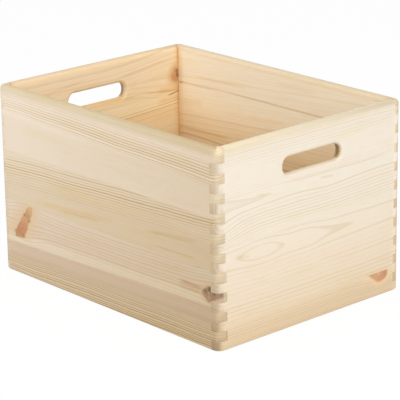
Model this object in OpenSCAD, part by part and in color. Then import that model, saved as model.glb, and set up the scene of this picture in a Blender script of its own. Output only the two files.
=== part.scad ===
// Wooden apple crate: four comb-jointed walls, each glued up from pine staves,
// round a plywood bottom that sits in a groove. X runs along the crate, Y across it, Z up.
// The origin is at the middle of the footprint, on the surface the crate stands on.

/* [Crate] */
// Outside length
crate_length = 400; // [300:1:600]
// Outside width
crate_width = 300; // [200:1:400]
// Outside height
crate_height = 240; // [220:1:300]
// Thickness of the wall boards
wall = 12; // [11:0.5:18]

/* [Rounded edges] */
// Radius of the upright outer corners
corner_radius = 10; // [6:0.5:14]
// Roundover on both edges of the rim
rim_radius = 5; // [2:0.25:5.25]
// Radius that the rim's roundover turns on in the inside corners
inside_turn = 3; // [1:0.5:8]
// Roundover on the outer bottom edges
foot_radius = 1.5; // [0.5:0.25:4]

/* [Comb joint] */
// Height of the long walls' top finger
top_finger = 17.7; // [12:0.1:24]
// Height of the fingers below it
finger = 11.7; // [8:0.1:16]

/* [Hand hold] */
// Length of each hand hold
hold_length = 92; // [70:1:120]
// Height of each hand hold
hold_height = 20.5; // [20:0.5:28]
// Radius of the corners at the hand hold's ends
hold_corner = 9.5; // [4:0.5:9.5]
// Rim down to the middle of the hand hold
hold_drop = 42.5; // [32:0.5:45]
// Roundover on the hand hold's edges
hold_roundover = 5; // [1:0.25:5.5]

/* [Staves of the front wall] */
// Height of the top stave
front_top_height = 82; // [60:1:90]
// Height of the middle stave
front_middle_height = 63; // [40:1:80]

/* [Staves of the back wall] */
// Height of the top stave
back_top_height = 47; // [30:1:60]
// Height of the upper middle stave
back_upper_height = 65; // [40:1:80]
// Height of the lower middle stave
back_lower_height = 64; // [40:1:80]

/* [Staves of the right end wall] */
// Height of the stave with the hand hold
right_hold_height = 62; // [60:1:72]
// Height of the upper middle stave
right_upper_height = 55; // [40:1:62]
// Height of the lower middle stave
right_lower_height = 93; // [60:1:100]

/* [Staves of the left end wall] */
// Height of the stave with the hand hold
left_hold_height = 64; // [60:1:80]
// Height of the upper middle stave
left_upper_height = 66; // [40:1:80]
// Height of the lower middle stave
left_lower_height = 68; // [40:1:80]

/* [Bottom panel] */
// Thickness of the plywood
panel_thickness = 4; // [3:0.5:6]
// Underside of the panel above the ground
panel_lift = 6; // [4:0.5:12]
// Depth of the groove in the walls
groove_depth = 5; // [3:0.5:7]
// Gap between the panel's edge and the end of the groove
panel_edge_gap = 0.5; // [0.2:0.1:1.5]
// Gap between the panel's face and the top of the groove
panel_face_gap = 0.2; // [0.1:0.05:0.5]

/* [Hidden] */
$fn = 96;

// How far a cutting shape reaches past the face it starts from
overshoot = 1;
inner_length = crate_length - 2 * wall;
inner_width = crate_width - 2 * wall;

// The comb's fingers are counted down from the rim; the lowest takes what is left
finger_count = 1 + round((crate_height - top_finger) / finger);
function finger_depth(count) =
  count == 0 ? 0 : count >= finger_count ? crate_height : top_finger + (count - 1) * finger;

// Which fingers of the comb a wall has: the long walls the first, third and so on
LONG_WALL = 0;
END_WALL = 1;

// Depths below the rim at which each wall's staves meet
front_lines = [0, front_top_height, front_top_height + front_middle_height, crate_height];
back_upper_line = back_top_height + back_upper_height;
back_lines = [0, back_top_height, back_upper_line, back_upper_line + back_lower_height, crate_height];
right_upper_line = right_hold_height + right_upper_height;
right_lines = [0, right_hold_height, right_upper_line, right_upper_line + right_lower_height, crate_height];
left_upper_line = left_hold_height + left_upper_height;
left_lines = [0, left_hold_height, left_upper_line, left_upper_line + left_lower_height, crate_height];

// ---- Flat shapes ----

// A rectangle with round corners, about the origin
module rounded_rectangle(length, width, radius) {
  square([length - 2 * radius, width], center = true);
  square([length, width - 2 * radius], center = true);
  for (x = [-1, 1], y = [-1, 1])
    translate([x * (length / 2 - radius), y * (width / 2 - radius)]) circle(radius);
}

// The waste that a roundover takes off a square edge. The arc's centre is at the origin.
module roundover_waste(radius) {
  difference() {
    square(radius + overshoot);
    circle(radius);
  }
}

// One wall seen flat, X along the wall and Y up, with its own fingers at both ends
module comb_outline(span, first_finger) {
  translate([wall - span / 2, 0]) square([span - 2 * wall, crate_height]);
  for (count = [first_finger : 2 : finger_count - 1])
    translate([-span / 2, crate_height - finger_depth(count + 1)])
      square([span, finger_depth(count + 1) - finger_depth(count)]);
}

// ---- Cutting shapes ----

// The waste of a roundover that runs round a rectangle with round corners.
// side is -1 where the wood is inside the rectangle, and 1 where it is outside.
module roundover_run(length, width, corner, radius, side) {
  module profile() {
    translate([side * radius, 0]) mirror([side > 0 ? 1 : 0, 0]) roundover_waste(radius);
  }
  for (flip = [0, 1]) {
    mirror([0, flip, 0]) translate([corner - length / 2, width / 2, 0])
      rotate([90, 0, 90]) linear_extrude(length - 2 * corner) profile();
    mirror([flip, 0, 0]) translate([length / 2, width / 2 - corner, 0])
      rotate([90, 0, 0]) linear_extrude(width - 2 * corner) profile();
    for (flop = [0, 1])
      mirror([flip, 0, 0]) mirror([0, flop, 0])
        translate([length / 2 - corner, width / 2 - corner, 0])
          rotate_extrude(angle = 90) translate([corner, 0]) profile();
  }
}

// Both edges of the rim
module rim_waste() {
  translate([0, 0, crate_height - rim_radius]) {
    roundover_run(crate_length, crate_width, corner_radius, rim_radius, -1);
    roundover_run(inner_length, inner_width, inside_turn, rim_radius, 1);
  }
}

// The outer bottom edges
module foot_waste() {
  translate([0, 0, foot_radius]) mirror([0, 0, 1])
    roundover_run(crate_length, crate_width, corner_radius, foot_radius, -1);
}

// The groove that holds the bottom panel
module panel_groove() {
  translate([-inner_length / 2 - groove_depth, -inner_width / 2 - groove_depth, panel_lift])
    cube([inner_length + 2 * groove_depth, inner_width + 2 * groove_depth,
          panel_thickness + panel_face_gap]);
}

// The hand hold of the right end wall, with both of its edges rounded over
module hold_waste() {
  translate([crate_length / 2 - wall / 2, 0, crate_height - hold_drop]) rotate([90, 0, 90]) {
    translate([0, 0, -wall / 2 - overshoot]) linear_extrude(wall + 2 * overshoot)
      rounded_rectangle(hold_length, hold_height, hold_corner);
    for (face = [0, 1])
      mirror([0, 0, face]) translate([0, 0, wall / 2 - hold_roundover])
        roundover_run(hold_length, hold_height, hold_corner, hold_roundover, 1);
  }
}

// ---- Staves ----

// One stave of a wall seen flat, between two depths below the rim
module stave_outline(span, first_finger, upper, lower) {
  intersection() {
    comb_outline(span, first_finger);
    translate([-span / 2, crate_height - lower]) square([span, lower - upper]);
  }
}

// Whatever is inside it, cut to the crate's rounded outside, rim and foot
module finished(upper, lower) {
  difference() {
    intersection() {
      children();
      linear_extrude(crate_height) rounded_rectangle(crate_length, crate_width, corner_radius);
    }
    if (upper < rim_radius) rim_waste();
    if (lower > crate_height - foot_radius) foot_waste();
    if (lower > crate_height - panel_lift) panel_groove();
  }
}

// Stave number place, counted from the rim, of the wall at the front
module front_stave(lines, place) {
  finished(lines[place], lines[place + 1])
    translate([0, wall - crate_width / 2, 0]) rotate([90, 0, 0]) linear_extrude(wall)
      stave_outline(crate_length, LONG_WALL, lines[place], lines[place + 1]);
}

// Stave number place, counted from the rim, of the end wall on the right
module right_stave(lines, place) {
  finished(lines[place], lines[place + 1])
    translate([crate_length / 2 - wall, 0, 0]) rotate([90, 0, 90]) linear_extrude(wall)
      stave_outline(crate_width, END_WALL, lines[place], lines[place + 1]);
}

module back_stave(lines, place) {
  rotate(180) front_stave(lines, place);
}

module left_stave(lines, place) {
  rotate(180) right_stave(lines, place);
}

// ---- The pieces ----

module front_top_stave() {
  color([0.87, 0.81, 0.69]) front_stave(front_lines, 0);
}

module front_middle_stave() {
  color([0.85, 0.76, 0.62]) front_stave(front_lines, 1);
}

module front_bottom_stave() {
  color([0.80, 0.70, 0.56]) front_stave(front_lines, 2);
}

module back_top_stave() {
  color([0.93, 0.84, 0.70]) back_stave(back_lines, 0);
}

module back_upper_stave() {
  color([0.91, 0.81, 0.65]) back_stave(back_lines, 1);
}

module back_lower_stave() {
  color([0.88, 0.76, 0.58]) back_stave(back_lines, 2);
}

module back_bottom_stave() {
  color([0.85, 0.72, 0.53]) back_stave(back_lines, 3);
}

module right_hold_stave() {
  color([0.96, 0.92, 0.84]) difference() {
    right_stave(right_lines, 0);
    hold_waste();
  }
}

module right_upper_stave() {
  color([0.96, 0.91, 0.82]) right_stave(right_lines, 1);
}

module right_lower_stave() {
  color([0.94, 0.88, 0.77]) right_stave(right_lines, 2);
}

module right_bottom_stave() {
  color([0.93, 0.84, 0.72]) right_stave(right_lines, 3);
}

module left_hold_stave() {
  color([0.92, 0.80, 0.62]) difference() {
    left_stave(left_lines, 0);
    rotate(180) hold_waste();
  }
}

module left_upper_stave() {
  color([0.90, 0.76, 0.55]) left_stave(left_lines, 1);
}

module left_lower_stave() {
  color([0.88, 0.74, 0.54]) left_stave(left_lines, 2);
}

module left_bottom_stave() {
  color([0.86, 0.72, 0.53]) left_stave(left_lines, 3);
}

// The plywood bottom rests on the lower lip of the groove
module bottom_panel() {
  reach = 2 * (groove_depth - panel_edge_gap);
  color([0.87, 0.77, 0.58])
    translate([-(inner_length + reach) / 2, -(inner_width + reach) / 2, panel_lift])
      cube([inner_length + reach, inner_width + reach, panel_thickness]);
}

front_top_stave();
front_middle_stave();
front_bottom_stave();
back_top_stave();
back_upper_stave();
back_lower_stave();
back_bottom_stave();
right_hold_stave();
right_upper_stave();
right_lower_stave();
right_bottom_stave();
left_hold_stave();
left_upper_stave();
left_lower_stave();
left_bottom_stave();
bottom_panel();
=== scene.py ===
import math

import bpy
from mathutils import Matrix, Vector


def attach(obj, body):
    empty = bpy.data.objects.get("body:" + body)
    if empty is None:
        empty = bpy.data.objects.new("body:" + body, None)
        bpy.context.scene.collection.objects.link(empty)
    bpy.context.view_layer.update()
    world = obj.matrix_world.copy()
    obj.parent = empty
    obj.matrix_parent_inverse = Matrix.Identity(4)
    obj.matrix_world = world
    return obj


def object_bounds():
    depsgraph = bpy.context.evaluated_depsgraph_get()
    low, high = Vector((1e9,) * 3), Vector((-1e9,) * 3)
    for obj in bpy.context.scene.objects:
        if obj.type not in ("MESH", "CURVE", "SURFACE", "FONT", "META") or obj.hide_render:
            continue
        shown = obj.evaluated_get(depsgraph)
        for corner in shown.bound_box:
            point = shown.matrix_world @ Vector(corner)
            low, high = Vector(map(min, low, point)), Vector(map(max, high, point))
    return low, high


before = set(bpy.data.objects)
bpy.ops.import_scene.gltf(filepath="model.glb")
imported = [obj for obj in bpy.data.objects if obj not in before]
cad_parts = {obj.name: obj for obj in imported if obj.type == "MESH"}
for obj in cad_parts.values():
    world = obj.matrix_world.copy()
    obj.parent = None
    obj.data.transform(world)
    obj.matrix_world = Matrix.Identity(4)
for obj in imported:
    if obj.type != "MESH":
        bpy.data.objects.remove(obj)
cad_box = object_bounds()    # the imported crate's own box, before anything is added

# The crate's measures. Every length on the crate is in millimetres, and MM turns it into metres
# where it goes into a mesh, a modifier or a bump.
MM = 0.001
LOW, HIGH = cad_box
LENGTH = (HIGH.x - LOW.x) / MM
WIDTH = (HIGH.y - LOW.y) / MM
HEIGHT = (HIGH.z - LOW.z) / MM
WALL = 12.0              # thickness of the walls
CORNER = 10.0            # radius of the upright corners
TOP_FINGER = 17.7        # height of the comb's first finger
SEAMS = 19               # level seams in each comb joint
FINGER = (HEIGHT - TOP_FINGER) / SEAMS
HOLD_REACH = 52.0        # from the middle of a hand hold to just past its rounded end
EASED_EDGE = 0.11        # width of the sanded arrises
SAME_POINT = 0.002       # corners of a mesh that lie closer together are one corner


# ---------------------------------------------------------------------------
# Mixing a material: sums on sockets are written as sums
# ---------------------------------------------------------------------------

class Reading:
    """One number or vector read from a node's socket. A sum on it adds its Math node."""

    def __init__(self, recipe, socket):
        self.recipe = recipe
        self.socket = socket

    def __add__(self, other):
        return self.recipe.maths("ADD", self, other)

    __radd__ = __add__

    def __sub__(self, other):
        return self.recipe.maths("SUBTRACT", self, other)

    def __rsub__(self, other):
        return self.recipe.maths("SUBTRACT", other, self)

    def __mul__(self, other):
        return self.recipe.maths("MULTIPLY", self, other)

    __rmul__ = __mul__

    def __truediv__(self, other):
        return self.recipe.maths("DIVIDE", self, other)

    def __rtruediv__(self, other):
        return self.recipe.maths("DIVIDE", other, self)


class Recipe:
    """A node tree that is filled by method calls. Colours are red, green and blue alone."""

    def __init__(self, tree):
        self.tree = tree
        self.tree.nodes.clear()

    def node(self, kind, settings=None, sockets=None):
        """Adds one node: its settings first, then the values or links of its sockets."""
        made = self.tree.nodes.new(kind)
        for name, value in (settings or {}).items():
            if name == "stops":
                set_stops(made.color_ramp, value)
            elif name == "curve":
                set_curve(made.mapping, value)
            else:
                setattr(made, name, value)
        for name, value in (sockets or {}).items():
            self.feed(find_socket(made.inputs, name), value)
        return made

    def feed(self, socket, value):
        if isinstance(value, Reading):
            self.tree.links.new(value.socket, socket)
        elif socket.type == "RGBA":
            socket.default_value = (*value, 1.0)
        else:
            socket.default_value = value

    def read(self, made, name=0):
        return Reading(self, find_socket(made.outputs, name))

    def give(self, kind, settings=None, sockets=None):
        """Adds one node and reads its first output."""
        return self.read(self.node(kind, settings, sockets))

    def maths(self, operation, *values):
        return self.give("ShaderNodeMath", {"operation": operation}, dict(enumerate(values)))

    def vector(self, x, y, z):
        return self.give("ShaderNodeCombineXYZ", {}, {"X": x, "Y": y, "Z": z})

    def split(self, vector):
        made = self.node("ShaderNodeSeparateXYZ", {}, {"Vector": vector})
        return [self.read(made, axis) for axis in ("X", "Y", "Z")]

    def distance(self, u, v):
        return self.maths("SQRT", u * u + v * v)

    def noise(self, place, detail=2.0, roughness=0.5, scale=1.0):
        """Smooth noise round 0, from about -0.5 to 0.5."""
        return self.give(
            "ShaderNodeTexNoise",
            {"noise_dimensions": "3D"},
            {"Vector": place, "Scale": scale, "Detail": detail, "Roughness": roughness},
        ) - 0.5

    def rise(self, value, start, end, low=0.0, high=1.0, way="SMOOTHSTEP"):
        """Goes from low to high while value goes from start to end."""
        return self.give(
            "ShaderNodeMapRange",
            {"interpolation_type": way},
            {"Value": value, "From Min": start, "From Max": end, "To Min": low, "To Max": high},
        )

    def band(self, value, start, end, soft):
        """1 between start and end, and 0 outside them, over a soft edge."""
        return self.rise(value, start - soft, start + soft) * self.rise(value, end + soft, end - soft)

    def late_wood(self, part, start, sharp):
        """The dark part of a year ring: it comes on slowly from its start and ends sharply."""
        return self.rise(part, start, 0.90) * self.rise(part, 1.0, sharp)

    def ramp(self, value, stops):
        return self.give("ShaderNodeValToRGB", {"stops": stops}, {"Fac": value})

    def mix(self, colour, amount, other, blend="MIX"):
        """The colour with another one over it, by an amount from 0 to 1."""
        made = self.node(
            "ShaderNodeMix",
            {"data_type": "RGBA", "blend_type": blend},
            {"Factor_Float": amount, "A_Color": colour, "B_Color": other},
        )
        return self.read(made, "Result_Color")

    def stain(self, colour, amount, tint):
        """The colour with a tint multiplied into it, by an amount from 0 to 1."""
        return self.mix(colour, amount, tint, "MULTIPLY")

    def join(self, *parts):
        """Several geometries as one."""
        made = self.node("GeometryNodeJoinGeometry")
        for part in reversed(parts):
            self.tree.links.new(part.socket, made.inputs[0])
        return self.read(made)


def find_socket(sockets, name):
    """A socket by its number, its identifier or its name."""
    if isinstance(name, int):
        return sockets[name]
    for socket in sockets:
        if socket.identifier == name or socket.name == name:
            return socket
    raise KeyError(name)


def set_stops(ramp, stops):
    """Gives a colour ramp its stops: places from 0 to 1, each with a colour."""
    while len(ramp.elements) < len(stops):
        ramp.elements.new(1.0)
    for element, (place, colour) in zip(ramp.elements, stops):
        element.position = place
        element.color = (*colour, 1.0)


def set_curve(mapping, points):
    """Gives a float curve its points."""
    curve = mapping.curves[0]
    while len(curve.points) < len(points):
        curve.points.new(0.5, 0.5)
    for point, place in zip(curve.points, points):
        point.location = place
    mapping.update()


def linear(channel):
    """One channel of a screen colour as a share of light."""
    channel = channel / 255.0
    return channel / 12.92 if channel <= 0.04045 else ((channel + 0.055) / 1.055) ** 2.4


def paint(red, green, blue):
    """A screen colour, 0 to 255 a channel, as the shader's own colour."""
    return linear(red), linear(green), linear(blue)


def new_material(name):
    """An empty material and its node tree."""
    material = bpy.data.materials.new(name)
    material.use_nodes = True
    return material, material.node_tree


def finish_surface(recipe, colour, rough, relief, strength, depth):
    """Ends a material with its colour, its roughness and its relief, of which 1 is so many mm deep."""
    normal = recipe.give(
        "ShaderNodeBump", {}, {"Strength": strength, "Distance": depth * MM, "Height": relief},
    )
    surface = recipe.give(
        "ShaderNodeBsdfPrincipled", {},
        {"Base Color": colour, "Roughness": rough, "Normal": normal, "Specular IOR Level": 0.35},
    )
    recipe.node("ShaderNodeOutputMaterial", {}, {"Surface": surface})


# ---------------------------------------------------------------------------
# Pine: how each stave was sawn
#
# Depths are below the rim, and lengths are along the wall, from its end nearer to
# x = -200 or y = -150. A place is a length and a depth. Whole colours are 0 to 255 a
# channel. Tints are shares of 1, and are multiplied into the wood's colour.
#
# How the wood is coloured:
#   tone       colours at depths, from the stave's upper edge to its lower one
#   tilt       how much these colours climb for each millimetre along the wall
#   far        tint of the wall's far end: painted shade, where the light falls off towards it
#   washes     soft streaks along the grain: start, end, half the height, tint
# How the stave lay in the log:
#   heart      depth of the log's heart. A list is a curve: values at lengths along the wall
#   beyond     how far the heart lies in front of the outer face: a number or a curve too
#   drift      how much the grain falls for each millimetre along the wall
#   fan        the grain opens like a fan: the depth that stays, then a length and the
#              spread there, twice
#   swerve     the grain bows out: round which place, how far along and down, how much
#   closer     the rings get closer: below which depth, and by what share
# How the year rings show:
#   year       width of a ring
#   uneven     how much that width varies
#   edge       distance from the heart of one ring's sharp edge
#   late_from  where the dark part of a ring starts, as a share of its width
#   faint      how strongly the rings show everywhere, from 0 to 1
#   lines      where they show more: upper depth, lower depth, how much is added
#   grows      they show more along the wall: from and to which length, low, high
#   end_rings  how strongly they show on wood that is cut across the grain
# What else is in the stave:
#   knots      names of its knots
#   crack      start and end of a drying crack
#   hold       whether the hand hold is cut through it
#   seed       sets its noise apart from that of the other staves
# ---------------------------------------------------------------------------

USUAL = {
    "tilt": 0.0, "far": (1.0, 1.0, 1.0), "washes": [],
    "drift": 0.0, "uneven": 0.8, "edge": 0.0, "late_from": 0.42, "end_rings": 0.5,
    "knots": [], "hold": False,
}

# What the staves of a wall share, where they don't say otherwise.
#   along         the axis that the grain runs on
#   outer         whether the outer face is on the low or the high side of the other axis
#   seen          the side that the wall mostly shows
#   ends          colours of the fingers' cut ends, at depths
#   turned_end    how much end grain shows where the rim turns an inner corner
WALLS = {
    "front": {
        "along": "X", "outer": "low", "seen": "outside",
        "far": (0.78, 0.73, 0.64),
        "turned_end": 1.0,
        "ends": [
            (0, (225, 208, 174)), (6.5, (226, 210, 180)), (8.5, (214, 193, 162)),
            (47, (215, 197, 169)), (110, (211, 194, 165)), (152, (214, 195, 166)),
            (175, (206, 184, 152)), (198, (205, 181, 151)), (240, (201, 178, 142)),
        ],
    },
    "back": {
        "along": "X", "outer": "high", "seen": "inside",
        "far": (0.92, 0.92, 0.90),
        "turned_end": 0.15,
        "ends": [(0, (209, 190, 159)), (240, (207, 187, 155))],
    },
    "left": {
        "along": "Y", "outer": "low", "seen": "inside",
        "ends": [
            (0, (222, 207, 184)), (82, (223, 208, 188)), (145, (214, 197, 170)),
            (194, (212, 193, 166)), (240, (206, 190, 163)),
        ],
        "end_rings": 0.15,
    },
    "right": {
        "along": "Y", "outer": "high", "seen": "outside",
        "ends": [
            (17.7, (190, 172, 144)), (47, (190, 172, 145)), (70, (183, 165, 138)),
            (93, (187, 167, 135)), (117, (183, 161, 130)), (140, (183, 163, 133)),
            (164, (177, 160, 130)), (187, (172, 155, 128)), (210, (162, 142, 112)),
            (240, (147, 129, 103)),
        ],
    },
}

# A dark streak and a crack that run across the joint of two staves
BACK_STREAK = ((-60, 51), (100, 46.4), 2.2, (0.86, 0.78, 0.68))
LEFT_CRACK = ((266, 64.9), (289, 61.6))

STAVES = {
    "front_top_stave": {
        "tone": [
            (0, (204, 187, 154)), (5, (215, 199, 170)), (10, (224, 209, 190)), (13, (229, 215, 197)),
            (34, (228, 214, 196)), (42, (223, 208, 188)), (82, (223, 208, 188)),
        ],
        "far": (0.81, 0.77, 0.69),
        "heart": -70, "beyond": 14, "drift": 0.02, "fan": (14, (60, 1.12), (385, 0.98)),
        "year": 3.4, "faint": 0.12, "lines": [(14, 37, 1.5)], "grows": (10, 200, 0.6, 1.0),
        "seed": 1,
    },
    "front_middle_stave": {
        "tone": [
            (82, (220, 206, 183)), (106, (218, 202, 178)), (116, (214, 196, 170)),
            (145, (213, 195, 167)),
        ],
        "heart": -70, "beyond": 14, "drift": -0.045,
        "year": 3.4, "uneven": 0.35, "faint": 0.2, "lines": [(82, 105, 1.0), (105, 120, 0.35)],
        "washes": [
            ((80, 112), (360, 103), 12, (1.0, 0.955, 0.89)),
            ((-60, 104), (440, 82), 6, (1.05, 1.055, 1.07)),
            ((60, 137), (235, 126), 5.5, (0.98, 0.92, 0.80)),
            ((110, 138), (200, 132), 3.2, (0.95, 0.90, 0.76)),
            ((280, 122), (372, 114), 3.5, (0.96, 0.90, 0.80)),
            ((270, 123.5), (368, 118), 2.4, (0.94, 0.88, 0.77)),
            ((285, 138), (370, 136), 2.4, (0.92, 0.87, 0.75)),
        ],
        "seed": 2,
    },
    "front_bottom_stave": {
        "tone": [
            (145, (216, 199, 178)), (180, (213, 194, 171)), (184, (219, 204, 181)),
            (192, (219, 204, 180)), (195, (203, 181, 157)), (205, (202, 181, 157)),
            (211, (197, 175, 148)), (216, (202, 183, 156)), (222, (206, 189, 162)),
            (240, (207, 190, 160)),
        ],
        "tilt": 0.033,
        "heart": -70, "beyond": 14, "drift": -0.018, "closer": (200, 0.35),
        "year": 4.1, "faint": 0.18, "lines": [(148, 188, 0.34), (216, 246, 1.7)],
        "washes": [
            ((330, 168.5), (396, 169.5), 3.6, (0.82, 0.71, 0.57)),
            ((330, 174), (378, 174), 6, (0.95, 0.88, 0.76)),
            ((330, 149), (430, 149), 12, (1.0, 1.04, 1.07)),
        ],
        "knots": ["leaning_knot", "corner_knot"],
        "seed": 3,
    },
    "back_top_stave": {
        "tone": [
            (0, (214, 196, 167)), (2, (228, 210, 179)), (4.5, (244, 224, 194)), (8, (252, 237, 213)),
            (47, (249, 235, 211)),
        ],
        "heart": -80, "beyond": 16, "drift": -0.07,
        "year": 5.6, "uneven": 1.4, "faint": 0.12, "lines": [(14, 44, 0.12)],
        "washes": [
            BACK_STREAK,
            ((30, 46.2), (560, 44.8), 2.4, (0.82, 0.72, 0.59)),
            ((190, 17), (275, 17), 6, (0.97, 0.93, 0.88)),
            ((30, 36), (150, 34), 3, (0.96, 0.90, 0.84)),
        ],
        "seed": 4,
    },
    "back_upper_stave": {
        "tone": [(47, (249, 236, 211)), (72, (248, 230, 200)), (112, (235, 208, 166))],
        "heart": 190, "beyond": 14, "drift": -0.07,
        "year": 5.2, "uneven": 1.4, "faint": 0.14, "lines": [(74, 100, 0.22)],
        "washes": [
            BACK_STREAK,
            ((2, 49.2), (22, 49.2), 2.4, (0.84, 0.72, 0.56)),
            ((0, 77), (64, 70), 8, (0.96, 0.93, 0.86)),
            ((140, 74), (220, 66), 5, (0.97, 0.93, 0.85)),
            ((-30, 110), (120, 108), 3.5, (0.88, 0.80, 0.68)),
        ],
        "seed": 5,
    },
    "back_lower_stave": {
        "tone": [(112, (230, 204, 166)), (176, (226, 200, 162))],
        "heart": [(0, 138), (400, 150)], "beyond": [(0, 13), (90, 9), (180, 14), (300, 10), (400, 14)],
        "year": 4.4, "faint": 0.15, "lines": [(112, 176, 0.6)],
        "seed": 6,
    },
    "back_bottom_stave": {
        "tone": [(176, (226, 198, 162)), (240, (220, 190, 152))],
        "heart": 20, "beyond": 30, "drift": 0.01,
        "year": 3.0, "faint": 0.2, "lines": [(200, 240, 0.8)],
        "seed": 7,
    },
    "right_hold_stave": {
        "tone": [(0, (223, 208, 179)), (5, (224, 211, 187)), (9, (229, 218, 202)), (62, (229, 218, 202))],
        "heart": -90, "beyond": 16,
        "year": 3.3, "faint": 0.06, "lines": [(8, 22, 0.4), (52, 66, 0.25)],
        "hold": True,
        "seed": 8,
    },
    "right_upper_stave": {
        "tone": [(62, (229, 219, 203)), (117, (228, 216, 198))],
        "heart": [(0, 72), (90, 70), (190, 71), (300, 68)],
        "beyond": [
            (0, 9.2), (58, 9.6), (95, 10.5), (130, 11.0), (160, 10.5), (175, 10.2), (190, 10.5),
            (230, 11.1), (265, 11.3), (300, 10.2),
        ],
        "swerve": ((-6, 74), (38, 40), 0.7),
        "year": 3.6, "uneven": 0.25, "edge": 10.5, "late_from": 0.60,
        "faint": 0.14, "lines": [(62, 92, 0.42), (92, 110, 0.5)],
        "washes": [
            ((58, 66), (88, 70), 2.5, (0.93, 0.88, 0.80)),
            ((160, 68), (186, 70), 2.8, (0.92, 0.88, 0.80)),
        ],
        "seed": 9,
    },
    "right_lower_stave": {
        "tone": [(117, (228, 216, 198)), (165, (227, 211, 189)), (210, (223, 205, 178))],
        "heart": [(0, 135), (70, 135), (220, 136), (300, 134)],
        "beyond": [
            (0, 12.4), (27, 11.3), (68, 7.0), (107, 11.3), (140, 11.8), (175, 15.4), (220, 16.9),
            (300, 18),
        ],
        "year": 5.2, "uneven": 0.3, "edge": 11.5, "late_from": 0.62,
        "faint": 0.14, "lines": [(117, 153, 0.30), (166, 174, 0.35), (186, 208, 0.34)],
        "washes": [
            ((22, 132), (52, 136), 3.5, (0.95, 0.92, 0.80)),
            ((232, 209), (286, 207), 3.0, (0.99, 0.92, 0.83)),
        ],
        "seed": 10,
    },
    "right_bottom_stave": {
        "tone": [(210, (222, 203, 173)), (240, (219, 197, 165))],
        "heart": -40, "beyond": 20,
        "year": 2.3, "faint": 0.12, "lines": [(214, 242, 0.75)], "end_rings": 0.9,
        "washes": [((190, 215), (240, 214), 5, (0.98, 0.95, 0.92))],
        "knots": ["half_moon_knot"],
        "seed": 11,
    },
    "left_hold_stave": {
        # painted light: 2 to 8 mm below the rim the tone is lighter, to make up for the shade where the rim
        # rounds inwards
        "tone": [
            (0, (214, 191, 160)), (2, (236, 210, 172)), (4.5, (254, 229, 189)), (8, (249, 228, 196)),
            (64, (243, 220, 180)),
        ],
        "heart": -40, "beyond": 6,
        "year": 6.2, "uneven": 1.3, "faint": 0.12, "lines": [(0, 64, 0.2)],
        "washes": [
            ((246, 57), (302, 56), 7, (0.93, 0.84, 0.70)),
            ((60, 58), (236, 54), 1.9, (0.90, 0.80, 0.66)),
            ((222, 53.8), (290, 60), 1.9, (0.90, 0.80, 0.66)),
            ((180, 25.8), (270, 15), 1.8, (0.92, 0.83, 0.71)),
            ((40, 27), (130, 18), 2.0, (0.94, 0.87, 0.77)),
        ],
        "knots": ["inner_corner_knot"], "crack": LEFT_CRACK, "hold": True,
        "seed": 12,
    },
    "left_upper_stave": {
        "tone": [
            (64, (247, 228, 190)), (76, (246, 224, 182)), (84, (240, 212, 166)), (92, (240, 212, 166)),
            (98, (240, 216, 176)), (130, (232, 206, 160)),
        ],
        "heart": -60, "beyond": 12, "drift": -0.06,
        "year": 3.6, "uneven": 1.2, "faint": 0.2, "lines": [(76, 92, 0.7)],
        "washes": [((246, 71), (302, 70), 7, (0.94, 0.86, 0.73))],
        "crack": LEFT_CRACK,
        "seed": 13,
    },
    "left_lower_stave": {
        "tone": [(130, (226, 188, 138)), (198, (218, 177, 128))],
        "heart": 165, "beyond": [(0, 12), (90, 8), (160, 12.5), (230, 9), (300, 13)],
        "year": 4.2, "faint": 0.15, "lines": [(130, 198, 0.6)],
        "seed": 14,
    },
    "left_bottom_stave": {
        "tone": [(198, (226, 198, 160)), (240, (222, 192, 154))],
        "heart": 40, "beyond": 30,
        "year": 3.0, "faint": 0.2, "lines": [(206, 240, 0.7)],
        "seed": 15,
    },
}

# ---------------------------------------------------------------------------
# Knots
#
#   ends      the two ends of the branch's heart line on the wall
#   radii     the branch's radius at each of them
#   cuts      lines that the knot doesn't pass: it lies to the left of each, looking along it
#   ragged    how much the edge frays
#   deep      from and to how far inside the wall it is seen, and how softly it ends there
#   soft      how softly its edge goes over into the wood
#   swerve    the grain bows out round it: how far along and down, how much
#   body      a line along the knot, and the colours along that line
#   rings     how strongly its own rings show
#   bars      how strongly bars across it show, where it has them
#   border    its border's colour, and the direction in which the border is strongest
#   halo      colour of the stained wood round it, and how far that reaches
#   calm      the depth at which the stained wood stops, where it does
#   spots     place, radius, colour
# ---------------------------------------------------------------------------

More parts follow.
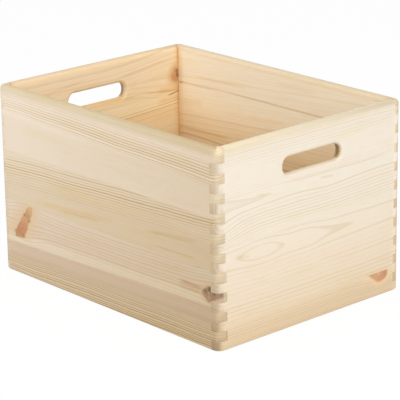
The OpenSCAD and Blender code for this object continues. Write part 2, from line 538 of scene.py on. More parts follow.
KNOTS = {
    # a branch cut along its length, which leans across the stave and stops where it was planed
    "leaning_knot": {
        "ends": ((56.6, 152.0), (34.2, 187.5)), "radii": (5.7, 9.2),
        "cuts": [((10, 193.0), (70, 188.6)), ((61, 200), (61, 140)), ((70, 147), (40, 147))],
        "ragged": 7.0, "deep": (-3, 6, 1.5), "soft": 1.9, "swerve": ((34, 34), 0.5),
        "body": ((57, 148), (33, 191), [
            (0.0, (208, 174, 130)), (0.22, (194, 151, 108)), (0.42, (200, 153, 112)),
            (0.62, (194, 143, 103)), (0.85, (183, 133, 93)), (1.0, (184, 144, 99)),
        ]),
        "rings": 0.3, "bars": 0.55,
        "border": ((172, 126, 86), (-0.3, 0.9)), "halo": ((210, 180, 142), 22.0), "calm": 191,
        "spots": [
            ((45.6, 158.5), 2.6, (154, 114, 76)), ((49, 153.8), 2.4, (172, 132, 90)),
            ((52.5, 160.5), 3.2, (178, 134, 92)), ((54, 166), 1.8, (142, 106, 68)),
            ((58.6, 162.8), 1.7, (150, 118, 75)), ((44.6, 172), 2.6, (186, 132, 90)),
            ((40, 179.4), 3.0, (188, 126, 88)), ((32, 183), 3.0, (176, 120, 82)),
            ((47, 178.5), 2.0, (174, 128, 86)),
        ],
    },
    # a dead knot at the corner, which runs on into the finger's end
    "corner_knot": {
        "ends": ((384.4, 174.0), (412, 176.5)), "radii": (11.6, 9.0),
        "cuts": [((386, 182.2), (400, 175.0)), ((388, 160.2), (369.5, 173.5)), ((370, 173.0), (385, 184.0))],
        "ragged": 5.0, "deep": (-3, 8.6, 2.4), "soft": 1.7, "swerve": ((34, 24), 0.5),
        "body": ((373, 174), (401, 175), [
            (0.0, (172, 143, 111)), (0.2, (152, 122, 91)), (0.45, (156, 126, 95)),
            (0.58, (148, 121, 92)), (0.72, (140, 112, 90)), (1.0, (160, 131, 112)),
        ]),
        "rings": 0.35,
        "border": ((150, 122, 92), (-0.4, -0.9)), "halo": ((190, 160, 126), 8.0),
        "spots": [
            ((386, 173), 6.0, (136, 108, 78)), ((379, 170.6), 3.4, (118, 90, 62)),
            ((386.4, 166.6), 3.8, (98, 76, 50)), ((389.6, 168.6), 2.8, (102, 80, 54)),
            ((384.6, 172), 2.0, (168, 138, 102)), ((385.4, 177.2), 3.4, (170, 128, 98)),
            ((388, 180.4), 2.0, (138, 106, 84)), ((393, 170.8), 2.6, (108, 86, 62)),
            ((400, 171.6), 2.4, (140, 112, 88)),
        ],
    },
    # a knot that was sawn through where the stave ends
    "half_moon_knot": {
        "ends": ((260, 204.6), (264.8, 205)), "radii": (17.0, 17.3),
        "cuts": [((241, 207.2), (260, 221.4)), ((278.3, 230), (278.3, 200))],
        "ragged": 4.0, "deep": (-3, 8, 1.0), "soft": 2.2, "swerve": ((44, 26), 0.45),
        "body": ((243, 212), (279, 214), [
            (0.0, (206, 172, 132)), (0.2, (192, 160, 120)), (0.45, (200, 156, 117)),
            (0.65, (203, 152, 113)), (0.85, (192, 144, 104)), (1.0, (200, 158, 118)),
        ]),
        "rings": 0.35,
        "border": ((188, 142, 102), (0.95, 0.1)), "halo": ((236, 196, 152), 9.0),
        "spots": [
            ((266, 218), 4.6, (200, 145, 106)), ((263, 211), 3.4, (212, 170, 132)),
            ((275, 214), 3.2, (184, 138, 98)), ((250.5, 211.4), 2.8, (182, 148, 106)),
        ],
    },
    # a small sound knot beside an inner corner
    "inner_corner_knot": {
        "ends": ((284, 34), (282.5, 40)), "radii": (5.6, 7.0),
        "cuts": [((270, 44.6), (288, 48))],
        "ragged": 4.0, "deep": (3, 15, 1.5), "soft": 4.2, "swerve": ((60, 44), 0.62),
        "body": ((279, 30), (280, 46), [
            (0.0, (226, 186, 138)), (0.35, (212, 166, 118)), (0.7, (208, 156, 110)),
            (1.0, (205, 150, 105)),
        ]),
        "rings": 0.2,
        "border": ((188, 134, 82), (0.2, 1.0)), "halo": ((224, 178, 122), 12.0),
        "spots": [
            ((281.5, 31), 3.0, (208, 162, 110)), ((279.4, 42), 3.4, (206, 146, 102)),
            ((285.4, 33.4), 3.8, (160, 108, 58)), ((286.6, 39.6), 3.8, (132, 88, 42)),
        ],
    },
}


# ---------------------------------------------------------------------------
# Pine: its colours, and how they are laid on
# ---------------------------------------------------------------------------

# whole colours
OUTER_PINE = paint(228, 212, 184)     # outer face of the walls that mostly show their inside
CRACK = paint(178, 120, 58)

# tints
YELLOWER = (0.97, 0.965, 0.88)        # broad clouds in the wood, of two kinds
REDDER = (0.985, 0.955, 0.93)
LATE_WOOD = (0.74, 0.60, 0.42)        # the dark line that ends each year
FIBRE = (0.93, 0.90, 0.85)
RESIN = (0.80, 0.64, 0.42)            # short dark resin ducts
INNER_CORNER_SHADE = (0.95, 0.86, 0.73)     # painted shade in the inner corners
CREASE = (0.78, 0.66, 0.50)           # a darker line down an inner corner, where the walls meet
NEAR_CORNER_SHADE = (0.79, 0.72, 0.63)      # painted shade on the end walls' wood beside their near corners, round the rounded corner
FAR_CORNER_LIGHT = (1.08, 1.08, 1.07)       # painted light on the end walls' outer face beside their far corners
OPEN_SEAM = (0.66, 0.55, 0.43)        # shadow beside a finger that stands a little off
END_RINGS = (0.84, 0.76, 0.64)        # year rings on wood that is cut across the grain
HOLD_WARM_SHADE = (1.0, 0.95, 0.85)       # painted warm shade on the cut faces inside the hand holds
HOLD_END_GRAIN_SHADE = (0.56, 0.47, 0.31)         # end grain at the ends of the hand holds, darkened with painted shade
HOLD_LIP_SHADE = (0.84, 0.76, 0.66)         # painted shade on the lower edge of a hand hold, on the inside, where it faces up
KNOT_RINGS = (0.84, 0.76, 0.66)
KNOT_BARS = (0.82, 0.72, 0.60)
KNOT_SPECKS = (0.55, 0.44, 0.32)

CURVE_TOP = 240.0                     # millimetres that the top of a drawn curve stands for
SEED_STEP = 7.7                       # how far apart the staves' noises are taken
GRAIN_SEED_STEP = 17.3                # the same for the wander of their grain


class Board(Recipe):
    """The recipe of one stave's pine: where a point lies on the stave, and its colour so far."""

    def __init__(self, tree, name):
        super().__init__(tree)
        wall = WALLS[name.split("_")[0]]
        self.sawn = {**USUAL, **wall, **STAVES[name]}
        self.seed = self.sawn["seed"] * SEED_STEP
        self.colour = None
        self.find_place()
        self.height = self.grain_height()

    def find_place(self):
        """Where a point lies on the stave, and which way its face looks."""
        coordinates = self.node("ShaderNodeTexCoord")
        x, y, z = self.split(self.read(coordinates, "Object"))
        facing_x, facing_y, facing_up = self.split(self.read(coordinates, "Normal"))
        if self.sawn["along"] == "X":
            along, across, facing_end = x, y, facing_x
            self.span, breadth = LENGTH, WIDTH
        else:
            along, across, facing_end = y, x, facing_y
            self.span, breadth = WIDTH, LENGTH
        if self.sawn["outer"] == "high":
            across = across * -1.0
        self.from_middle = along / MM
        self.along = self.from_middle + self.span / 2
        self.below = HEIGHT - z / MM                  # below the rim
        self.inward = across / MM + breadth / 2       # in from the outer face
        self.to_end = self.span / 2 - self.maths("ABSOLUTE", self.from_middle)
        self.endways = self.maths("ABSOLUTE", facing_end)   # 1 on faces cut across the grain
        self.facing_up = facing_up

    def grain_height(self):
        """Depth below the rim as the grain sees it: with its wander, its swerves and its slope."""
        sawn = self.sawn
        shift = sawn["seed"] * GRAIN_SEED_STEP
        slow = self.stretched_noise(self.below, lengthwise=0.010, crosswise=0.028, shift=shift, detail=1.0)
        quick = self.stretched_noise(self.below, lengthwise=0.040, crosswise=0.10, shift=shift, detail=2.0)
        height = self.below + slow * 3.6 + quick * 0.9
        for name in sawn["knots"]:
            knot = KNOTS[name]
            height = self.swerve(height, middle_of(*knot["ends"]), *knot["swerve"])
        if "swerve" in sawn:
            height = self.swerve(height, *sawn["swerve"])
        height = height - self.from_middle * sawn["drift"]
        if "fan" in sawn:
            still, (start, narrow), (end, wide) = sawn["fan"]
            height = (height - still) * self.rise(self.along, start, end, narrow, wide, "LINEAR") + still
        return height

    def swerve(self, height, middle, reach, strength):
        """The grain bows out round a place, and less and less up to twice the reach."""
        u = (self.along - middle[0]) / reach[0]
        v = (height - middle[1]) / reach[1]
        bell = self.maths("EXPONENT", (u * u + v * v) * -1.0)
        return height - (height - middle[1]) * bell * strength

    def stretched_noise(self, depth, lengthwise, crosswise, shift, detail, roughness=0.5):
        """Noise that is drawn out along the grain: how often it changes in a millimetre each way."""
        place = self.vector(self.along * lengthwise + shift, depth * crosswise, self.inward * crosswise)
        return self.noise(place, detail, roughness)

    def even_noise(self, often, detail):
        """Noise that changes equally often in all directions."""
        place = self.vector(self.along * often, self.below * often, self.inward * often + self.seed)
        return self.noise(place, detail)

    def drawn(self, value):
        """A plain number as it is, or a curve of values along the wall."""
        if not isinstance(value, list):
            return value
        points = [(length / self.span, number / CURVE_TOP) for length, number in value]
        curve = self.give("ShaderNodeFloatCurve", {"curve": points}, {"Value": self.along / self.span})
        return curve * CURVE_TOP

    def shades(self, depth, colours):
        """Colours at depths, from the first depth to the last."""
        top, bottom = colours[0][0], colours[-1][0]
        stops = [((place - top) / (bottom - top), paint(*shade)) for place, shade in colours]
        return self.ramp((depth - top) / (bottom - top), stops)

    def beside(self, start, end):
        """Share of the way along a line, and the distance from that line."""
        run, fall = end[0] - start[0], end[1] - start[1]
        u, v = self.along - start[0], self.below - start[1]
        share = (u * run + v * fall) / (run * run + fall * fall)
        share = self.maths("MINIMUM", self.maths("MAXIMUM", share, 0.0), 1.0)
        return share, self.distance(u - share * run, v - share * fall)

    def past(self, start, end):
        """Distance past a line, on the right of someone who looks along it."""
        run, fall = end[0] - start[0], end[1] - start[1]
        u, v = self.along - start[0], self.below - start[1]
        return (v * run - u * fall) / math.hypot(run, fall)

    def lay(self, amount, tint):
        """Multiplies a tint into the wood, by an amount from 0 to 1."""
        self.colour = self.stain(self.colour, amount, tint)

    def cover(self, amount, colour):
        """Covers the wood with a colour, by an amount from 0 to 1."""
        self.colour = self.mix(self.colour, amount, colour)


def middle_of(start, end):
    """The place halfway along a line."""
    return (start[0] + end[0]) / 2, (start[1] + end[1]) / 2


def pine(name):
    """Planed pine for one stave."""
    material, tree = new_material("pine_" + name)
    board = Board(tree, name)
    cut_rings(board)
    bare_wood(board)
    clouds(board)
    year_lines(board)
    fibres(board)
    streaks(board)
    if board.sawn["along"] == "Y":
        wood_by_the_comb(board)
    inner_corners(board)
    cut_ends(board)
    if board.sawn["hold"]:
        hand_hold(board)
    for knot in board.sawn["knots"]:
        knot_in(board, KNOTS[knot])
    if "crack" in board.sawn:
        crack_in(board, board.sawn["crack"])
    rough = 0.56 + board.cut * 0.12 + board.fibre * 0.08 - board.grain * 0.05
    relief = board.grain * 0.5 + board.fibre * 0.6 - board.ducts * 0.4
    finish_surface(board, board.colour, rough, relief, strength=0.35, depth=0.12)
    return material


def cut_rings(board):
    """The year rings as the saw has cut them.

    late is 1 in the dark part of a ring, and grain is how strongly that shows.
    """
    sawn = board.sawn
    rise = board.height - board.drawn(sawn["heart"])
    if "closer" in sawn:
        start, share = sawn["closer"]
        rise = rise + board.maths("MAXIMUM", board.height - start, 0.0) * share
    reach = board.inward + board.drawn(sawn["beyond"])
    ring = board.distance(rise, reach)
    # wide and narrow years come in groups, some 6 mm across
    groups = board.noise(board.vector(ring * 0.16, board.seed, 0.0)) * (2 * sawn["uneven"])
    part = board.maths("FRACT", (ring - sawn["edge"]) / sawn["year"] + groups)
    board.late = board.late_wood(part, sawn["late_from"], 0.94)

    shown = sawn["faint"]
    for top, bottom, strength in sawn["lines"]:
        shown = shown + board.band(board.height, top, bottom, 2.5) * strength
    if "grows" in sawn:
        shown = shown * board.rise(board.along, *sawn["grows"])
    # some years are darker than others
    years = board.noise(board.vector(ring * (0.9 / sawn["year"]), board.seed + 40, 0.0), 1.0)
    board.grain = board.late * board.rise(years, -0.22, 0.22, 0.45, 1.0) * shown


def bare_wood(board):
    """The stave's colours, from its upper edge down: the wood's own, with some painted light below the left
    wall's rim.
    """
    band = board.below + board.from_middle * board.sawn["tilt"]
    board.colour = board.shades(band, board.sawn["tone"])
    if board.sawn["seen"] == "inside":
        outer_face = board.rise(board.inward, 9.0, 4.0) * board.rise(board.below, 2.0, 7.0)
        board.cover(outer_face * 0.75, OUTER_PINE)


def clouds(board):
    """Broad soft patches, some a little yellower and some a little redder."""
    cloud = board.stretched_noise(
        board.height, lengthwise=0.008, crosswise=0.06, shift=board.seed, detail=3.0,
    )
    board.lay(board.rise(cloud, 0.0, 0.28), YELLOWER)
    board.lay(board.rise(cloud, 0.0, -0.28), REDDER)


def year_lines(board):
    """The dark year lines. What is over full strength is laid on as a second coat."""
    board.lay(board.maths("MINIMUM", board.grain, 1.0), LATE_WOOD)
    board.lay(board.maths("MAXIMUM", board.grain - 1.0, 0.0), LATE_WOOD)


def fibres(board):
    """Fine fibres and short resin ducts along the grain."""
    board.fibre = board.stretched_noise(
        board.height, lengthwise=0.05, crosswise=1.6, shift=0.0, detail=3.0, roughness=0.6,
    )
    board.lay(board.rise(board.fibre, -0.05, 0.3), FIBRE)
    ducts = board.stretched_noise(
        board.height, lengthwise=0.22, crosswise=2.6, shift=board.seed, detail=0.0,
    )
    board.ducts = board.rise(ducts, 0.26, 0.36)
    board.lay(board.ducts * 0.45, RESIN)


def streaks(board):
    """The painted shade towards the far end, where the light falls off, and soft streaks that fade at both
    their ends.
    """
    # painted shade: darker towards the wall's far end, as the light falls off
    board.lay(board.along / board.span, board.sawn["far"])
    for start, end, half, tint in board.sawn["washes"]:
        share, away = board.beside(start, end)
        along = board.rise(share, 0.0, 0.25) * board.rise(share, 1.0, 0.78)
        board.lay(board.rise(away, half, 0.0) * along, tint)


def wood_by_the_comb(board):
    """An end wall's outer face beside the long walls' fingers: painted shade by the near corner and in some
    seams, painted light by the far corner.
    """
    near = board.rise(board.along, WALL - 1.0, 1.0)
    # painted shade: darker and warmer round the near corner, more so towards the foot
    board.lay(near * board.rise(board.below, 150, 235, 0.62, 1.0), NEAR_CORNER_SHADE)

    outer_face = board.rise(board.inward, 6.0, 2.0)
    finger_pair = board.maths("FRACT", (board.below - TOP_FINGER) / (2 * FINGER))
    odd_finger = board.rise(finger_pair, 0.49, 0.51)
    seam = board.band(board.along, WALL - 0.6, WALL + 2.0, 0.7)
    lower_half = board.rise(board.below, 120.0, 180.0)
    board.lay(odd_finger * seam * lower_half * outer_face * 0.75, OPEN_SEAM)

    far = board.rise(board.along, WIDTH - 18.0, WIDTH - 8.0)
    # painted light: the outer face is lighter beside the far corner
    board.lay(far * outer_face, FAR_CORNER_LIGHT)


def inner_corners(board):
    """Painted shade in the inner corners, which fades towards the foot, and a darker line down the end
    walls' inner corners.
    """
    on_inside = board.rise(board.inward, 6.0, WALL - 1.0) * board.rise(board.below, HEIGHT, 0.0, 0.4, 1.0)
    # painted shade: the wood is darker in the inner corners, most near the rim
    board.lay(board.rise(board.to_end, 2 * WALL, WALL) * on_inside, INNER_CORNER_SHADE)
    if board.sawn["along"] == "Y":
        board.lay(board.rise(board.to_end, WALL + 3.6, WALL + 1.0) * on_inside, CREASE)


def cut_ends(board):
    """End grain on every face that is cut across the grain. cut is 1 there."""
    board.cut = board.rise(board.endways, 0.30, 0.90)
    if board.sawn["along"] == "X":
        # the rim turns the inner corners on a mitre, where the end walls' grain takes over
        turned = board.rise(board.inward, WALL, 7.0, board.sawn["turned_end"], 1.0)
        mitre = board.rise(board.inward - board.to_end, -0.8, 0.8) * board.rise(board.below, 7.5, 6.0)
        board.cut = board.maths("MAXIMUM", board.cut * turned, mitre)
    ends = [(depth / HEIGHT, paint(*shade)) for depth, shade in board.sawn["ends"]]
    board.cover(board.cut * 0.85, board.ramp(board.below / HEIGHT, ends))
    board.lay(board.cut * board.late * board.sawn["end_rings"], END_RINGS)


def hand_hold(board):
    """Inside a hand hold: warm painted shade on its cut faces, its end grain darkened with painted shade,
    and painted shade on its lower inner edge.
    """
    middle = board.span / 2
    hold = board.band(board.along, middle - HOLD_REACH, middle + HOLD_REACH, 1.0)
    under_rim = board.rise(board.below, 16, 24)
    inside = hold * board.rise(board.inward, 0.8, 3.0) * under_rim
    core = board.rise(board.inward, 2.0, 4.5) * board.rise(board.inward, 9.0, 6.5)
    shaded_hold = inside * board.rise(board.inward, WALL - 0.1, WALL - 1.0)
    lip = shaded_hold * board.rise(board.facing_up, 0.1, 0.8) * board.rise(board.inward, 5.0, 7.5)
    # painted shade: the hold's cut faces are warmer and a little darker
    board.lay(shaded_hold, HOLD_WARM_SHADE)
    # end grain of the hold's ends with painted shade on it, darkest in the middle of the wall's thickness
    board.lay(inside * core * board.cut, HOLD_END_GRAIN_SHADE)
    # painted shade: the upward-facing lower edge of the hold is darker
    board.lay(lip, HOLD_LIP_SHADE)


def knot_in(board, knot):
    """Lays one knot into the stave: the stained wood round it, the knot itself, dark specks."""
    ragged = board.even_noise(often=0.16, detail=3.0)
    edge = knot_edge(board, knot, ragged)
    here = board.band(board.inward, *knot["deep"])
    halo, reach = knot["halo"]
    glow = board.rise(edge, reach, -1.0) * here * 0.8
    if "calm" in knot:
        glow = glow * board.rise(board.below, knot["calm"] + 4.0, knot["calm"] - 1.0)
    board.cover(glow, paint(*halo))

    inside = board.rise(edge, knot["soft"], -knot["soft"]) * here
    board.cover(inside, knot_body(board, knot, edge, ragged))
    specks = board.rise(board.even_noise(often=0.8, detail=1.0), 0.20, 0.32)
    board.lay(specks * inside * 0.45, KNOT_SPECKS)


def knot_edge(board, knot, ragged):
    """Distance outside the knot's edge, and below 0 inside it."""
    first, last = knot["radii"]
    share, away = board.beside(*knot["ends"])
    edge = away - (share * (last - first) + first) + ragged * knot["ragged"]
    for line in knot["cuts"]:
        edge = board.maths("SMOOTH_MAX", edge, board.past(*line) + ragged * 1.5, 1.5)
    return edge


def knot_body(board, knot, edge, ragged):
    """The knot's own colours: along its body, its rings and bars, its border and its spots."""
    start, end, colours = knot["body"]
    share, _ = board.beside(start, end)
    body = board.ramp(share, [(place, paint(*shade)) for place, shade in colours])
    rings = board.rise(board.maths("FRACT", edge * 0.45 + ragged), 0.35, 0.95)
    body = board.stain(body, rings * knot["rings"], KNOT_RINGS)
    if "bars" in knot:
        bars = board.rise(board.maths("FRACT", share * 9.0 + ragged * 2.5), 0.3, 0.85)
        body = board.stain(body, bars * knot["bars"], KNOT_BARS)

    border, (aside, down) = knot["border"]
    middle = middle_of(*knot["ends"])
    towards = (board.along - middle[0]) * aside + (board.below - middle[1]) * down
    side = board.rise(towards / knot["radii"][1], -0.4, 0.8, 0.2, 0.9)
    body = board.mix(body, board.rise(edge, -2.8, -0.8) * side, paint(*border))

    for place, radius, colour in knot["spots"]:
        away = board.distance(board.along - place[0], board.below - place[1]) + ragged * radius
        body = board.mix(body, board.rise(away, radius * 1.3, radius * 0.3) * 0.9, paint(*colour))
    return body


def crack_in(board, line):
    """A short drying crack: a thin dark line that starts softly."""
    share, away = board.beside(*line)
    wave = board.noise(board.vector(board.along * 0.2, board.below * 0.05, 9.0))
    dark = board.rise(away + wave * 1.2, 1.5, 0.5) * board.rise(share, 0.0, 0.35)
    board.cover(dark * 0.8, CRACK)


# ---------------------------------------------------------------------------
# Plywood of the bottom panel
# ---------------------------------------------------------------------------

def plywood():
    """Rotary-cut veneer: wide loops of grain, dull and even."""
    material, tree = new_material("plywood_bottom")
    recipe = Recipe(tree)
    x, y, _ = recipe.split(recipe.read(recipe.node("ShaderNodeTexCoord"), "Object"))
    along, across = x / MM, y / MM
    hills = recipe.noise(recipe.vector(along * 0.0028, across * 0.0085, 3.0), 1.5, 0.4)
    wander = recipe.noise(recipe.vector(along * 0.02, across * 0.05, 8.0))
    fibre = recipe.noise(recipe.vector(along * 0.05, across * 1.4, 5.0), 3.0, 0.6)
    late = recipe.late_wood(recipe.maths("FRACT", hills * 34.0 + wander * 0.5), 0.25, 0.93)
    wood = recipe.ramp(hills + 0.5, [(0.2, paint(230, 206, 168)), (0.8, paint(222, 196, 156))])
    wood = recipe.stain(wood, late * 0.36, LATE_WOOD)
    wood = recipe.stain(wood, recipe.rise(fibre, -0.05, 0.3), FIBRE)
    finish_surface(recipe, wood, 0.62 + fibre * 0.08, fibre, strength=0.3, depth=0.1)
    return material


# ---------------------------------------------------------------------------
# Glue in the comb joints: a thin film in every seam, which shows in its eased edges
# ---------------------------------------------------------------------------

# The inputs of the glue's tree
GLUE = {
    "Length": LENGTH,
    "Width": WIDTH,
    "Height": HEIGHT,
    "Wall": WALL,
    "Corner": CORNER,
    "Top finger": TOP_FINGER,
    "Finger": FINGER,
    "Film": 0.10,           # thickness of a film
    "Inset": 0.06,          # how far a film stays back from the wood's faces
    "Under rim": 5.4,       # how far the first upright film stays below the rim
    "Over foot": 1.9,       # how far the last one stays above the foot
}


def glue_material():
    """Dried wood glue with dust in it, darker towards the foot of the crate."""
    material, tree = new_material("dried_glue")
    recipe = Recipe(tree)
    place = recipe.read(recipe.node("ShaderNodeTexCoord"), "Object")
    _, _, z = recipe.split(place)
    dust = recipe.noise(place, scale=260.0)
    colours = [(0.0, paint(128, 96, 66)), (0.35, paint(160, 126, 90)), (1.0, paint(182, 148, 108))]
    colour = recipe.ramp(z / (HEIGHT * MM) + dust * 0.4, colours)
    finish_surface(recipe, colour, 0.42 + dust * 0.15, dust, strength=0.2, depth=0.05)
    return material


def level_film(recipe, size):
    """A level film: square, with the crate's rounded corner on its outer side."""
    side = size["Wall"] - size["Inset"] * 2.0
    square = recipe.give(
        "GeometryNodeCurvePrimitiveQuadrilateral", {"mode": "RECTANGLE"}, {"Width": side, "Height": side},
    )
    x, y, _ = recipe.split(recipe.give("GeometryNodeInputPosition"))
    outer = recipe.maths("GREATER_THAN", x, 0.0) * recipe.maths("GREATER_THAN", y, 0.0)
    rounded = recipe.give(
        "GeometryNodeFilletCurve", {"mode": "POLY"},
        {"Curve": square, "Count": 5, "Radius": outer * (size["Corner"] - size["Inset"])},
    )
    sheet = recipe.give("GeometryNodeFillCurve", {"mode": "NGONS"}, {"Curve": rounded})
    raised = recipe.give(
        "GeometryNodeExtrudeMesh", {"mode": "FACES"},
        {"Mesh": sheet, "Offset Scale": size["Film"], "Individual": False},
    )
    under = recipe.give("GeometryNodeFlipFaces", {}, {"Mesh": sheet})
    closed = recipe.give(
        "GeometryNodeMergeByDistance", {},
        {"Geometry": recipe.join(raised, under), "Distance": SAME_POINT * MM},
    )
    down = recipe.vector(0.0, 0.0, size["Film"] * -0.5)
    return recipe.give("GeometryNodeTransform", {}, {"Geometry": closed, "Translation": down})


def upright_film(recipe, along_x, height, size):
    """An upright film between a finger's side and the wall that it is let into."""
    side = size["Wall"] - size["Inset"] * 2.0
    length, width = (side, size["Film"]) if along_x else (size["Film"], side)
    return recipe.give("GeometryNodeMeshCube", {}, {"Size": recipe.vector(length, width, height)})


def stacked(recipe, piece, top, step, count, size):
    """Copies of a piece, one under the other, the first at a depth below the rim."""
    points = recipe.give(
        "GeometryNodeMeshLine", {"mode": "OFFSET"},
        {
            "Count": count,
            "Start Location": recipe.vector(0.0, 0.0, size["Height"] - top),
            "Offset": recipe.vector(0.0, 0.0, step * -1.0),
        },
    )
    return recipe.give("GeometryNodeInstanceOnPoints", {}, {"Points": points, "Instance": piece})


def at_corners(recipe, piece, length, width, turned):
    """Copies of a piece at the four corners of a rectangle, each turned outwards if asked."""
    points = recipe.give(
        "GeometryNodeMeshGrid", {}, {"Size X": length, "Size Y": width, "Vertices X": 2, "Vertices Y": 2},
    )
    sockets = {"Points": points, "Instance": piece}
    if turned:
        x, y, _ = recipe.split(recipe.give("GeometryNodeInputPosition"))
        angle = recipe.maths("ARCTAN2", recipe.maths("SIGN", y), recipe.maths("SIGN", x)) - math.pi / 4
        sockets["Rotation"] = recipe.vector(0.0, 0.0, angle)
    return recipe.give("GeometryNodeInstanceOnPoints", {}, sockets)


def upright_films(recipe, size, seams):
    """The upright films of all four joints."""
    top, finger, wall = size["Top finger"], size["Finger"], size["Wall"]
    pairs = recipe.maths("FLOOR", seams * 0.5)
    last = finger - size["Over foot"]
    # The long walls' fingers have films that run along X, and the end walls' have films along Y.
    # Each run: along X or not, height, depth of the first film's middle, step down, how many.
    runs = [
        (True, top - size["Under rim"], (top + size["Under rim"]) * 0.5, finger, 1),
        (True, finger, top + finger * 1.5, finger * 2.0, pairs),
        (False, finger, top + finger * 0.5, finger * 2.0, pairs),
        (False, last, top + finger * seams - finger + last * 0.5, finger, 1),
    ]
    films = []
    for along_x, height, first, step, count in runs:
        column = stacked(recipe, upright_film(recipe, along_x, height, size), first, step, count, size)
        walls_x, walls_y = (1.0, 2.0) if along_x else (2.0, 1.0)
        length, width = size["Length"] - wall * walls_x, size["Width"] - wall * walls_y
        films.append(at_corners(recipe, column, length, width, False))
    return films


def glue_tree():
    """The glue of the four comb joints, from the comb's own measures."""
    tree = bpy.data.node_groups.new("comb_glue", "GeometryNodeTree")
    tree.interface.new_socket("Geometry", in_out="OUTPUT", socket_type="NodeSocketGeometry")
    for name in GLUE:
        tree.interface.new_socket(name, in_out="INPUT", socket_type="NodeSocketFloat")
    tree.interface.new_socket("Seams", in_out="INPUT", socket_type="NodeSocketInt")
    recipe = Recipe(tree)
    asked = recipe.node("NodeGroupInput")
    size = {name: recipe.read(asked, name) for name in GLUE}
    seams = recipe.read(asked, "Seams")

    column = stacked(recipe, level_film(recipe, size), size["Top finger"], size["Finger"], seams, size)
    level = at_corners(recipe, column, size["Length"] - size["Wall"], size["Width"] - size["Wall"], True)
    films = recipe.join(level, *upright_films(recipe, size, seams))
    whole = recipe.give("GeometryNodeRealizeInstances", {}, {"Geometry": films})
    dressed = recipe.give("GeometryNodeSetMaterial", {}, {"Geometry": whole, "Material": glue_material()})
    recipe.node("NodeGroupOutput", {}, {"Geometry": dressed})
    return tree


def comb_glue():
    """Runs the glue's tree once and keeps what it makes as a plain mesh."""
    tree = glue_tree()
    piece = bpy.data.objects.new("comb_glue", bpy.data.meshes.new("comb_glue"))
    bpy.context.scene.collection.objects.link(piece)
    maker = piece.modifiers.new("glue", "NODES")
    maker.node_group = tree
    for item in tree.interface.items_tree:
        if item.in_out == "INPUT":
            maker[item.identifier] = SEAMS if item.name == "Seams" else GLUE[item.name] * MM
    bpy.context.view_layer.update()
    ready = piece.evaluated_get(bpy.context.evaluated_depsgraph_get())
    mesh = bpy.data.meshes.new_from_object(ready)
    keep_one_material(mesh)
    piece.modifiers.clear()
    piece.data = mesh
    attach(piece, "root")


def keep_one_material(mesh):
    """The tree leaves empty slots beside its material: only that one stays, on every face."""
    used = next(material for material in mesh.materials if material)
    mesh.materials.clear()
    mesh.materials.append(used)
    mesh.polygons.foreach_set("material_index", [0] * len(mesh.polygons))


# ---------------------------------------------------------------------------
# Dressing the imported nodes
# ---------------------------------------------------------------------------

def ease_edges(node):
    """Sanded arrises: every sharp edge is eased, so each joint reads as a fine line."""
    weld = node.modifiers.new("weld", "WELD")
    weld.merge_threshold = SAME_POINT * MM
    flat = node.modifiers.new("flat", "DECIMATE")
    flat.decimate_type = "DISSOLVE"
    flat.angle_limit = math.radians(0.5)
    ease = node.modifiers.new("ease", "BEVEL")
    ease.width = EASED_EDGE * MM
    ease.segments = 1
    ease.limit_method = "ANGLE"
    ease.angle_limit = math.radians(38)
    ease.use_clamp_overlap = False
    ease.harden_normals = True


def dress_nodes():
    """Gives every stave its own pine and the bottom panel its plywood."""
    for name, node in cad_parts.items():
        node.data.materials.clear()
        node.data.materials.append(plywood() if name == "bottom_panel" else pine(name))
        ease_edges(node)


# ---------------------------------------------------------------------------
# Studio, in metres
# ---------------------------------------------------------------------------

WHITE = (1.0, 1.0, 1.0)
SKY = (0.98, 0.99, 1.0)
FLOOR_CARD = (0.86, 0.86, 0.86)
FLOOR_HALF = 8.0          # half the floor's side
FLOOR_DROP = 0.00002      # the floor lies this little below the crate's foot

# name: place, size, power in watts
LAMPS = {
    "key": ((2.6, -0.5, 1.6), 1.8, 38.0),
    "front": ((0.0, -2.3, 1.8), 1.8, 33.0),
    "top": ((0.0, 0.0, 2.6), 2.4, 9.0),
}

CAMERA_PLACE = (1.8096, -1.61689, 0.89478)
CAMERA_YAW = 48.144       # degrees that it is turned from +Y towards -X
CAMERA_PITCH = 18.108     # degrees that it looks down
CAMERA_ROLL = -0.883
CAMERA_LENS = 186.61      # millimetres, before a 36 mm wide frame


def sees_backdrop(recipe):
    """1 for rays that see the backdrop directly or in a reflection, 0 for light on the crate."""
    path = recipe.node("ShaderNodeLightPath")
    seen = recipe.maths("MAXIMUM", recipe.read(path, "Is Camera Ray"), recipe.read(path, "Is Glossy Ray"))
    return recipe.maths("MAXIMUM", seen, recipe.read(path, "Is Transmission Ray"))


def studio_world():
    """An even sky that lights the crate, behind a white backdrop."""
    world = bpy.data.worlds.new("studio")
    bpy.context.scene.world = world
    world.use_nodes = True
    recipe = Recipe(world.node_tree)
    light = recipe.give("ShaderNodeBackground", {}, {"Color": SKY, "Strength": 0.62})
    white = recipe.give("ShaderNodeBackground", {}, {"Color": WHITE, "Strength": 1.0})
    both = recipe.give("ShaderNodeMixShader", {}, {0: sees_backdrop(recipe), 1: light, 2: white})
    recipe.node("ShaderNodeOutputWorld", {}, {"Surface": both})


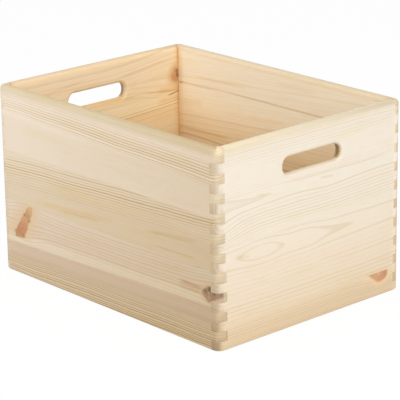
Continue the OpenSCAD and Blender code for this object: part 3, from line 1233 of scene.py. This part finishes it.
def floor_material():
    """White, and a trace of the crate's shadow on it."""
    material, tree = new_material("floor_white")
    recipe = Recipe(tree)
    card = recipe.give("ShaderNodeBsdfDiffuse", {}, {"Color": FLOOR_CARD})
    glow = recipe.give("ShaderNodeEmission", {}, {"Color": WHITE, "Strength": 1.0})
    both = recipe.give("ShaderNodeMixShader", {}, {0: sees_backdrop(recipe) * 0.95, 1: card, 2: glow})
    recipe.node("ShaderNodeOutputMaterial", {}, {"Surface": both})
    return material


def studio_floor():
    """A wide floor just below the crate's foot."""
    half = FLOOR_HALF
    level = LOW.z - FLOOR_DROP
    corners = [(-half, -half, level), (half, -half, level), (half, half, level), (-half, half, level)]
    mesh = bpy.data.meshes.new("floor")
    mesh.from_pydata(corners, [], [(0, 1, 2, 3)])
    mesh.materials.append(floor_material())
    floor = bpy.data.objects.new("floor", mesh)
    bpy.context.scene.collection.objects.link(floor)


def studio_lamps():
    """Square lamps that all look at the middle of the crate."""
    middle = Vector((0.0, 0.0, HEIGHT * MM / 2))
    for name, (place, size, power) in LAMPS.items():
        light = bpy.data.lights.new(name, "AREA")
        light.size = size
        light.energy = power
        lamp = bpy.data.objects.new(name, light)
        lamp.location = place
        lamp.rotation_euler = (middle - Vector(place)).to_track_quat("-Z", "Y").to_euler()
        bpy.context.scene.collection.objects.link(lamp)


def studio_camera():
    """The view from the crate's near corner, a little above it."""
    yaw, pitch, roll = (math.radians(angle) for angle in (CAMERA_YAW, CAMERA_PITCH, CAMERA_ROLL))
    ahead = Vector((-math.sin(yaw) * math.cos(pitch), math.cos(yaw) * math.cos(pitch), -math.sin(pitch)))
    level = Vector((math.cos(yaw), math.sin(yaw), 0.0))
    upright = level.cross(ahead)
    right = level * math.cos(roll) + upright * math.sin(roll)
    up = upright * math.cos(roll) - level * math.sin(roll)
    data = bpy.data.cameras.new("camera")
    data.sensor_width = 36.0
    data.lens = CAMERA_LENS
    data.clip_start = 0.05
    data.clip_end = 50.0
    camera = bpy.data.objects.new("camera", data)
    turn = Matrix((right, up, -ahead)).transposed()
    camera.matrix_world = Matrix.Translation(CAMERA_PLACE) @ turn.to_4x4()
    bpy.context.scene.collection.objects.link(camera)
    bpy.context.scene.camera = camera


studio_camera()
studio_world()
studio_floor()
studio_lamps()
bpy.context.scene.view_settings.view_transform = "Standard"
dress_nodes()
comb_glue()
